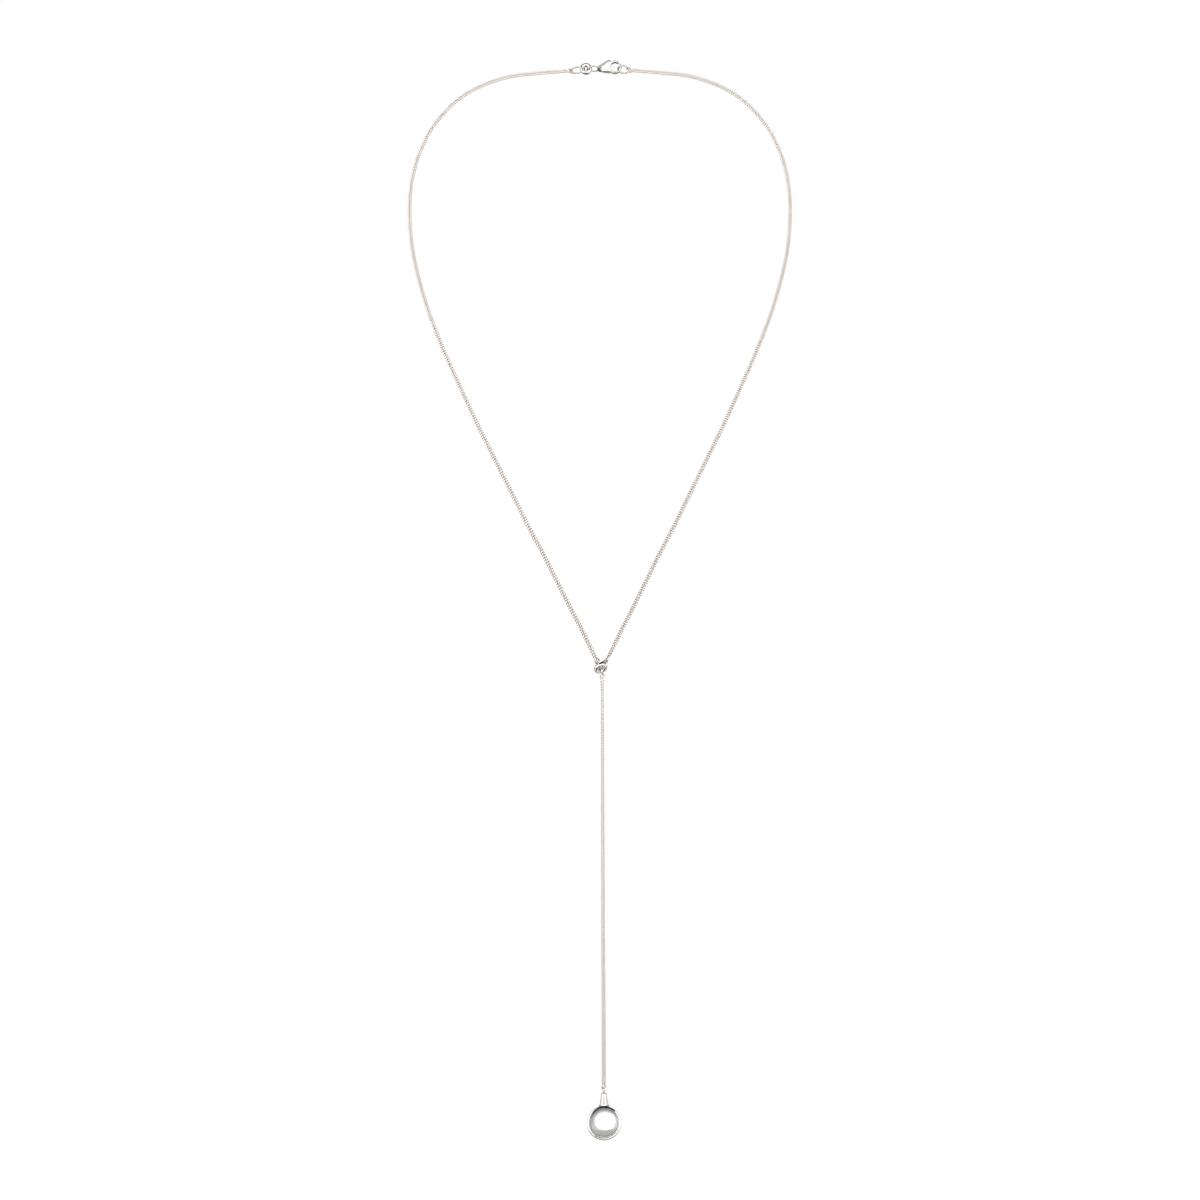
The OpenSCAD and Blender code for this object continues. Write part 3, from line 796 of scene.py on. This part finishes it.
# Each wire ring: node, radius of its middle line and wire in mm, place of the seam, plane
WIRE_RINGS = [
    ("clasp_ring", 1.85, 0.40, 60, row_plane(1, -84)),
    ("end_ring_left", 2.10, 0.40, 110, row_plane(9, -82)),
    ("end_ring_right", 1.55, 0.40, 250, row_plane(-11, -62)),
    ("y_link_left", 0.95, 0.30, 200, link_plane(88)),
    ("y_link_right", 0.95, 0.30, 150, link_plane(23)),
    ("y_link_drop", 0.95, 0.30, 160, link_plane(250)),
    ("bail_link", 0.62, 0.26, 20, LINK_OF_BAIL),
]
# Each heavy ring: node, radius of its middle line in mm, plane
HEAVY_RINGS = [
    ("nape_ring", 1.225, (Vector((1, 0, 0)), nape_axis)),
    ("y_ring", 1.275, (y_long, y_axis)),
]

# %% Rings laid in their planes
def empty_holder():
    """An object with no shape, for a tree that needs no route."""
    return new_object("holder", bpy.data.meshes.new("holder"))


def hang(piece, node, body="necklace"):
    """The finished piece stands for its CAD node and moves with its body."""
    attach(piece, body)
    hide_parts(node)
    print(piece.name, "has", len(piece.data.polygons), "faces")


for node, radius, wire, seam, (along, axis) in WIRE_RINGS:
    ring = frozen(node + "_wire", empty_holder(), wire_ring, buffed_silver, Radius=radius * MM,
                  Wire=wire * MM, Seam_at=math.radians(seam), Middle=middle_of(node), Along=along,
                  Axis=axis)
    hang(ring, node)

# %% [markdown]
# The junction ring carries a short black stroke of painted shade between the two arms. Seen from
# the front it is a straight stroke, so each point of the ring notes how far it is from the stroke's
# middle line.

# %% Heavy rings and the painted shade on one of them
# The ends of the mark's middle line, right and up from the ring's middle, in mm
MARK_ENDS = (Vector((-0.62, 1.00)), Vector((0.60, 1.47)))
MARK_HALF_WIDTH = 0.20
# Where a stroke ends, in half widths, and how quickly it fades
MARK_EDGE = 1.2
MARK_FADE = 3.0


def ring_shade_at(place, middle):
    """How dark the painted shade is at one place of the junction ring."""
    out = (place - middle) / MM
    if out.y > 0:
        return 0
    start, end = MARK_ENDS
    spot = Vector((out.x, out.z))
    share = ramp((spot - start).dot(end - start), 0, (end - start).length_squared)
    return stroke((spot - start.lerp(end, share)).length, MARK_HALF_WIDTH, MARK_EDGE, MARK_FADE)


for node, radius, (along, axis) in HEAVY_RINGS:
    ring = frozen(node + "_cast", empty_holder(), heavy_ring, buffed_silver, Radius=radius * MM,
                  Middle=middle_of(node), Along=along, Axis=axis)
    # The junction ring takes a black stroke of painted shade
    if node == "y_ring":
        ring_middle = middle_of(node)
        store_shade_and_grime(ring.data, [ring_shade_at(point.co, ring_middle) for point in ring.data.vertices])
    hang(ring, node)

# %% [markdown]
# ## Clasp
# A lobster clasp is cast in two pieces, ground, and tumbled until its edges are round. The packed
# model has its right shape but sharp edges. A fine skin of small faces is drawn over it and
# relaxed a few times, which takes the edges off just as tumbling does. A riveted pin holds the two
# pieces together, and its ends show as small domes on the cheeks.

# %% Tumbled castings
MERGE_DISTANCE = 0.0005 * MM
TUMBLING_FACTOR = 0.5


def worn_skin(name, shape, face_size, passes):
    """A fine skin over a closed shape, with its edges worn round. The face size is in mm."""
    rough = bpy.data.meshes.new(name)
    bmesh.ops.scale(shape, vec=(1 / MM,) * 3, verts=shape.verts)
    shape.to_mesh(rough)
    shape.free()
    holder = new_object(name + "_holder", rough)
    remesh = holder.modifiers.new("fine skin", "REMESH")
    remesh.mode = "VOXEL"
    remesh.voxel_size = face_size
    smooth = holder.modifiers.new("tumbling", "SMOOTH")
    smooth.factor = TUMBLING_FACTOR
    smooth.iterations = passes
    worn = baked(holder)
    worn.transform(Matrix.Scale(MM, 4))
    worn.shade_smooth()
    worn.materials.clear()
    worn.materials.append(cast_silver)
    return worn


def shape_of(node):
    """An editable copy of a CAD node with its corners merged."""
    shape = bmesh.new()
    shape.from_mesh(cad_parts[node].data)
    shape.transform(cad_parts[node].matrix_world)
    bmesh.ops.remove_doubles(shape, verts=shape.verts, dist=MERGE_DISTANCE)
    return shape


# %% [markdown]
# The hook isn't round wire. It is cast deeper than it is thick, and on its left it spreads into
# two shoulders that close the gap between the opening and the body and take the pin. The lever is
# as deep, and its gate is a second bar inside the hook. All this is added to the imported shapes
# before the skin is drawn. The inside of the hook and of the tail's eye get painted shade, so both
# are dark.

# %% Shoulders, gate and depth of the castings
HOOK_MIDDLE = Vector((4.55, 0, 0.61)) * MM
# Each bar: angles where it starts and ends, its radius and half its thickness, how far it is from
# the middle plane, half its depth
BODY_BARS = [
    (118, 205, 1.64, 0.33, -0.57, 0.19),
    (118, 205, 1.64, 0.33, 0.57, 0.19),
    (196, 285, 1.64, 0.33, 0.0, 0.62),
]
GATE_BARS = [
    (128, 48, 1.42, 0.20, 0.0, 0.62),
]
# Parts thinner than this, from the middle plane out, are made deeper
THIN_HALF_DEPTH = 0.42 * MM
DEPTH_RISE = 0.5
# Each casting: its node, name, body and bars, where it gets deeper (start, gain, start and end of
# the fall, in mm), and its skin's face size in mm and passes of tumbling
CASTINGS = [
    ("clasp_body", "clasp_casting", "necklace", BODY_BARS, (3.5, 1.1, 7.0, 8.0), (0.05, 12)),
    ("clasp_lever", "lever_casting", "lever", GATE_BARS, (3.95, 1.0, 5.0, 5.5), (0.04, 6)),
]
TAIL_EYE = Vector((0.12, 0, 0.05)) * MM
# Each inside with painted shade: its middle, how dark it gets, and the radii where that starts and is
# full, in mm
SHADED_INSIDES = [
    (HOOK_MIDDLE, 0.80, 1.43, 1.33),
    (TAIL_EYE, 0.95, 0.80, 0.68),
]


def bent_bar(shape, start, end, radius, thick, aside, depth, bends=24, sides=20):
    """Adds a bar of oval section that is bent round the hook's opening."""
    rows = []
    for bend_step in range(bends + 1):
        angle = math.radians(start + (end - start) * bend_step / bends)
        outwards = Vector((math.cos(angle), 0, math.sin(angle)))
        row = []
        for side in range(sides):
            turn_by = math.tau * side / sides
            reach = radius + thick * math.cos(turn_by)
            sideways = aside + depth * math.sin(turn_by)
            row.append(shape.verts.new(HOOK_MIDDLE + (outwards * reach + Vector((0, sideways, 0))) * MM))
        rows.append(row)
    for near, far in zip(rows, rows[1:]):
        for side in range(sides):
            after = (side + 1) % sides
            shape.faces.new((near[side], near[after], far[after], far[side]))
    shape.faces.new(rows[0][::-1])
    shape.faces.new(rows[-1])


def deepened(shape, start, gain, fall_start, fall_end):
    """Makes thin parts deeper from front to back, right of a start and left of a fall, in mm."""
    for vertex in shape.verts:
        x = vertex.co.x / MM
        share = ramp(x, start, start + DEPTH_RISE) * (1 - ramp(x, fall_start, fall_end))
        if abs(vertex.co.y) < THIN_HALF_DEPTH:
            vertex.co.y *= 1 + gain * share


def shade_and_grime_inside(place):
    """How dark the painted shade inside the hook or the tail's eye is at one place."""
    most = 0
    for middle, darkness, clean_radius, dark_radius in SHADED_INSIDES:
        out = (place - middle) / MM
        most = max(most, darkness * ramp(math.hypot(out.x, out.z), clean_radius, dark_radius))
    return most


for node, name, body, bars, deeper, skin in CASTINGS:
    shape = shape_of(node)
    deepened(shape, *deeper)
    for bar in bars:
        bent_bar(shape, *bar)
    casting = worn_skin(name, shape, *skin)
    # Painted shade inside the hook and the tail's eye
    store_shade_and_grime(casting, [shade_and_grime_inside(vertex.co) for vertex in casting.vertices])
    hang(new_object(name, casting), node, body)

# %% [markdown]
# ## Turned shapes
# The rivet, the bezel cup, the bail and the stone are all round about an axis, so one function
# turns them. A profile of radius and height is swung round its axis, and where the profile reaches
# the axis the surface closes in a single point.

# %% Turning a profile
def unmoved(radius, height, angle):
    """A surface that runs quite true."""
    return 0


TOWARDS_VIEWER = Vector((0, -1, 0))
UPWARDS = Vector((0, 0, 1))


def turned_mesh(name, middle, axis, profile, steps, finish, waver=unmoved):
    """A surface turned about an axis that is square to X, from radii and heights in mm."""
    across = Vector((1, 0, 0))
    aside = axis.cross(across)
    points = []
    rows = []
    for radius, height in profile:
        here = middle + axis * height * MM
        if radius == 0:
            rows.append([len(points)] * steps)
            points.append(here)
            continue
        rows.append(list(range(len(points), len(points) + steps)))
        for step in range(steps):
            angle = math.tau * step / steps
            reach = (radius + waver(radius, height, angle)) * MM
            points.append(here + (across * math.cos(angle) + aside * math.sin(angle)) * reach)
    faces = []
    for near, far in zip(rows, rows[1:]):
        for step in range(steps):
            after = (step + 1) % steps
            corners = [near[step], near[after], far[after], far[step]]
            faces.append(list(dict.fromkeys(corners)))
    mesh = bpy.data.meshes.new(name)
    mesh.from_pydata(points, [], faces)
    mesh.update()
    mesh.shade_smooth()
    mesh.materials.append(finish)
    return mesh


def arc(centre, radius, start, end, steps):
    """Points of an arc in a profile, between two angles in degrees."""
    angles = [math.radians(start + (end - start) * i / steps) for i in range(steps + 1)]
    return [(centre[0] + radius * math.cos(a), centre[1] + radius * math.sin(a)) for a in angles]


# %% Rivet of the clasp
PIVOT = Vector((2.94, 0, 1.51)) * MM
RIVET_PROFILE = [
    (0, -0.84), (0.13, -0.82), (0.22, -0.76), (0.25, -0.68),
    (0.25, 0.68), (0.22, 0.76), (0.13, 0.82), (0, 0.84),
]
RIVET_STEPS = 32
rivet_mesh = turned_mesh("clasp_rivet", PIVOT, TOWARDS_VIEWER, RIVET_PROFILE, RIVET_STEPS, buffed_silver)
rivet = new_object("clasp_rivet", rivet_mesh)
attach(rivet, "necklace")
print("rivet at", [round(value / MM, 2) for value in PIVOT], "mm")

# %% [markdown]
# ## Setting
# A bezel cup is made from strip silver, soldered to a back plate and pushed over the stone with a
# burnisher. This one has a thick rounded rim, and inside it a narrow flat ledge that lies against
# the stone. The burnisher leaves the ledge's inner edge slightly uneven, and that is what a real
# setting looks like from near by, so its radius wavers by up to two hundredths of a millimetre.

# %% Bezel cup
RIM_RADIUS = 4.45
BACK_RADIUS = 3.85
HALF_DEPTH = 1.5
EDGE = 0.31
LEDGE = [
    (3.845, 1.27), (3.82, 1.21), (3.79, 1.175), (3.76, 1.16), (3.72, 1.155), (3.69, 1.15),
    (3.665, 1.135), (3.645, 1.10), (3.635, 1.04),
]
SEAT_RADIUS = 3.64
SEAT_HEIGHT = -0.14
FLOOR_HEIGHT = -0.9
TURNING_STEPS = 192
# The burnisher moved the ledge only, which is above this height and inside this radius
BURNISHED_HEIGHT = 1.0
BURNISHED_RADIUS = 3.8
BURNISHER_STROKE = 0.010

setting_low, setting_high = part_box("pendant_setting")
setting_middle = (setting_low + setting_high) / 2
setting_middle.z = setting_low.z + RIM_RADIUS * MM


def burnished(radius, height, angle):
    """How far the burnisher moved the ledge at one place, in mm."""
    if height < BURNISHED_HEIGHT or radius > BURNISHED_RADIUS:
        return 0
    strokes = math.sin(9 * angle + 0.7) + 0.6 * math.sin(23 * angle + 2.1) + 0.4 * math.sin(41 * angle)
    return BURNISHER_STROKE * strokes


# The flat stretches have points between, so that no face is very long
cup_profile = [(0, -HALF_DEPTH), (1.2, -HALF_DEPTH), (2.4, -HALF_DEPTH)]
cup_profile += arc((BACK_RADIUS - EDGE, EDGE - HALF_DEPTH), EDGE, -90, 0, 6)
cup_profile += arc((RIM_RADIUS - EDGE, HALF_DEPTH - EDGE), EDGE, 0, 150, 14)
cup_profile += LEDGE
cup_profile += [(SEAT_RADIUS, 0.55), (SEAT_RADIUS, SEAT_HEIGHT)]
cup_profile += [(SEAT_RADIUS, FLOOR_HEIGHT), (1.8, FLOOR_HEIGHT), (0, FLOOR_HEIGHT)]
cup_mesh = turned_mesh("bezel_cup", setting_middle, TOWARDS_VIEWER, cup_profile, TURNING_STEPS,
                       buffed_silver, burnished)
print("cup profile:", len(cup_profile), "points")

# %% [markdown]
# Two thin dark arcs of painted shade lie along the top of the rim, beside the foot of the bail,
# the left one longer and bolder than the right one, and they meet in a blot under the bail. Two
# short dark marks lie at the lower left, and two faint long dark lines run along the left of the
# rim and of the ledge.

# %% Dark arcs along the rim
# Each arc: angles round the rim where it starts and ends, its radius at each end, half its width
# and how dark it is
RIM_DARK_ARCS = [
    # The first three arcs, along the top, are painted shade; the last four are dark marks
    (141, 97, 3.95, 4.22, 0.22, 1.0),
    (102, 76, 4.28, 4.20, 0.27, 1.0),
    (79, 47, 4.20, 4.20, 0.14, 1.0),
    (246, 234, 3.93, 3.97, 0.12, 0.75),
    (259, 250, 3.94, 3.96, 0.12, 0.75),
    (268, 205, 4.36, 4.38, 0.06, 0.40),
    (232, 140, 3.78, 3.78, 0.18, 0.22),
]
# Edge and fade as for the mark, then how quickly an arc narrows at its ends
RIM_DARK_EDGE = 1.3
RIM_DARK_FADE = 1.5
RIM_DARK_TAPER = 8
# No dark arc lies farther back than this height, in mm
RIM_DARK_BACK = 0.7


def rim_dark_at(place):
    """How dark the arcs are at one place of the rim."""
    out = (place - setting_middle) / MM
    angle = math.degrees(math.atan2(out.z, out.x)) % 360
    radius = math.hypot(out.x, out.z)
    most = 0
    for start, end, first_radius, last_radius, half_width, darkness in RIM_DARK_ARCS:
        share = (start - angle) / (start - end)
        if -out.y < RIM_DARK_BACK or not 0 <= share <= 1:
            continue
        line = first_radius + (last_radius - first_radius) * share
        taper = min(1, RIM_DARK_TAPER * share, RIM_DARK_TAPER * (1 - share)) ** 0.5
        width_here = half_width * taper + 0.001
        most = max(most, darkness * stroke(abs(radius - line), width_here, RIM_DARK_EDGE, RIM_DARK_FADE))
    return most


# Painted shade and dark marks on the rim
store_shade_and_grime(cup_mesh, [rim_dark_at(vertex.co) for vertex in cup_mesh.vertices])
print("points on dark arcs:", sum(value.value > 0.5 for value in cup_mesh.attributes["shade_and_grime"].data))

# %% [markdown]
# The bail is a small cone of silver, soldered on top of the rim. Solder runs into the corner, so
# its foot flares out in a hollow curve. Its top is rounded off and carries a flat eye for the last
# link, dark inside with painted shade.

# %% Bail
BAIL_PROFILE = [
    (0, 3.80), (1.36, 4.05), (1.30, 4.30), (1.21, 4.38), (1.14, 4.46), (1.09, 4.58),
    (1.06, 4.72), (0.94, 5.56), (0.82, 6.40), (0.70, 7.24), (0.68, 7.38), (0.64, 7.46),
    (0.55, 7.53), (0.35, 7.57), (0, 7.58),
]
EYE_PLACE = 7.65
EYE_RADIUS = 0.45
EYE_WALL = 0.30
EYE_WIDTH = 0.42
# How dark the painted shade inside the eye is, up to a distance from its middle
EYE_SHADE = 0.9
EYE_SHADE_REACH = 0.37
BAIL_STEPS = 64
bail_cone = turned_mesh("bail_cone", setting_middle, UPWARDS, BAIL_PROFILE, BAIL_STEPS, buffed_silver)
eye_middle = setting_middle + UPWARDS * EYE_PLACE * MM
eye = frozen("bail_eye", empty_holder(), heavy_ring, buffed_silver, Radius=EYE_RADIUS * MM,
             Wall=EYE_WALL * MM, Width=EYE_WIDTH * MM, Along=Vector((1, 0, 0)),
             Axis=TOWARDS_VIEWER, Middle=eye_middle)
# Painted shade inside the eye
inside_eye = [(point.co - eye_middle).length < EYE_SHADE_REACH * MM for point in eye.data.vertices]
store_shade_and_grime(eye.data, [EYE_SHADE * inside for inside in inside_eye])
store_shade_and_grime(bail_cone, [0] * len(bail_cone.vertices))
soldered = bmesh.new()
for part in (cup_mesh, bail_cone, eye.data):
    soldered.from_mesh(part)
soldered.to_mesh(cup_mesh)
soldered.free()
bpy.data.objects.remove(eye)
cup_mesh.shade_smooth()
hang(new_object("bezel_setting", cup_mesh), "pendant_setting", "pendant")

# %% [markdown]
# ## Stone
# The cabochon is a milky white stone with a domed, polished face. Light enters it, scatters on fine
# inclusions and comes out again. Its colour is white in a broad patch above its middle. Round that
# patch painted shade makes it grey, most of all at the upper left, with a cool tint, and below it a
# greener grey begins at a distinct edge: a painted reflection of the darker ground below.

# %% Finish of the milky stone
GIRDLE_RADIUS = 3.625
WHITEST = (0.92, 0.92, 0.915)
CLOUD = (0.85, 0.855, 0.87)
# Greys of the painted shade, and of the painted reflection of the ground
COOL_EDGE_SHADE = (0.27, 0.27, 0.285)
PALE_EDGE_SHADE = (0.42, 0.42, 0.435)
GROUND_REFLECTION_GREY = (0.30, 0.313, 0.287)
# The white patch, in shares of the stone's radius: its middle, and half its width and height
PATCH_MIDDLE = (0.07, 0.20)
PATCH_SIZE = (0.86, 0.77)
# Where its edge starts and ends, as sums of squared shares of that size
PATCH_EDGE = (0.24, 1.02)
# Heights between which the grey of the painted shade deepens, and how much of the way to the left counts
# as height
EDGE_SHADE_FADE = (-0.4, 0.9)
EDGE_SHADE_LEAN = 0.6
# Heights where the painted reflection of the darker ground begins and is full
REFLECTION_BAND_TOP = -0.30
REFLECTION_BAND_FULL = -0.48
CLOUD_GRAIN = 900


def share_of(tree, value, middle, half):
    """How far a value is from a middle, in shares of a half size, squared."""
    away = worked_out(tree, "DIVIDE", worked_out(tree, "SUBTRACT", value, middle), half)
    return worked_out(tree, "MULTIPLY", away, away)


def milky_stone(name, middle):
    """A clouded white stone, greyed by painted shade towards its edge, with a painted reflection as a
    greener band at its bottom.
    """
    stone, shader = new_material(name)
    tree = stone.node_tree
    place = tree.nodes.new("ShaderNodeMapping")
    place.vector_type = "TEXTURE"
    place.inputs["Location"].default_value = middle
    place.inputs["Scale"].default_value = (GIRDLE_RADIUS * MM,) * 3
    tree.links.new(tree.nodes.new("ShaderNodeTexCoord").outputs["Object"], place.inputs["Vector"])
    part = tree.nodes.new("ShaderNodeSeparateXYZ")
    tree.links.new(place.outputs["Vector"], part.inputs[0])
    x, z = part.outputs["X"], part.outputs["Z"]
    white = mixed(tree, noise_value(tree, CLOUD_GRAIN, 3), CLOUD, WHITEST)
    off_patch = worked_out(tree, "ADD", share_of(tree, x, PATCH_MIDDLE[0], PATCH_SIZE[0]),
                           share_of(tree, z, PATCH_MIDDLE[1], PATCH_SIZE[1]))
    to_upper_left = worked_out(tree, "SUBTRACT", z, worked_out(tree, "MULTIPLY", x, EDGE_SHADE_LEAN))
    # Painted shade greys the stone round its white patch
    grey = mixed(tree, soft_step(tree, to_upper_left, *EDGE_SHADE_FADE), PALE_EDGE_SHADE, COOL_EDGE_SHADE)
    shaded = mixed(tree, soft_step(tree, off_patch, *PATCH_EDGE), white, grey)
    # A painted reflection of the darker ground makes the bottom greener
    with_ground_reflection = mixed(tree, soft_step(tree, z, REFLECTION_BAND_TOP, REFLECTION_BAND_FULL), shaded, GROUND_REFLECTION_GREY)
    tree.links.new(with_ground_reflection, shader.inputs["Base Color"])
    shader.inputs["Roughness"].default_value = 0.10
    shader.inputs["IOR"].default_value = 1.53
    shader.inputs["Subsurface Weight"].default_value = 0.15
    shader.inputs["Subsurface Scale"].default_value = 0.4 * MM
    return stone


milky = milky_stone("milky_stone", setting_middle)

# %% Domed stone
STONE_BACK = -0.86
DOME_FOOT = 0.82
DOME_TOP = 2.66
DOME_STEPS = 40
BACK_BEVEL = 0.1
SIDE_TOP = DOME_FOOT - 0.3
stone_profile = [(0, STONE_BACK), (1.8, STONE_BACK), (GIRDLE_RADIUS - BACK_BEVEL, STONE_BACK)]
stone_profile += [(GIRDLE_RADIUS, STONE_BACK + BACK_BEVEL), (GIRDLE_RADIUS, SIDE_TOP)]
for step in range(DOME_STEPS):
    angle = math.radians(90 * step / DOME_STEPS)
    stone_profile.append((GIRDLE_RADIUS * math.cos(angle),
                          DOME_FOOT + (DOME_TOP - DOME_FOOT) * math.sin(angle)))
stone_profile += [(0, DOME_TOP)]
stone_mesh = turned_mesh("cabochon", setting_middle, TOWARDS_VIEWER, stone_profile, TURNING_STEPS, milky)
hang(new_object("cabochon", stone_mesh), "stone", "pendant")

# %% CAD nodes that still show
still_shown = [name for name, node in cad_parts.items() if not node.hide_render]
print("CAD nodes that still show:", still_shown)
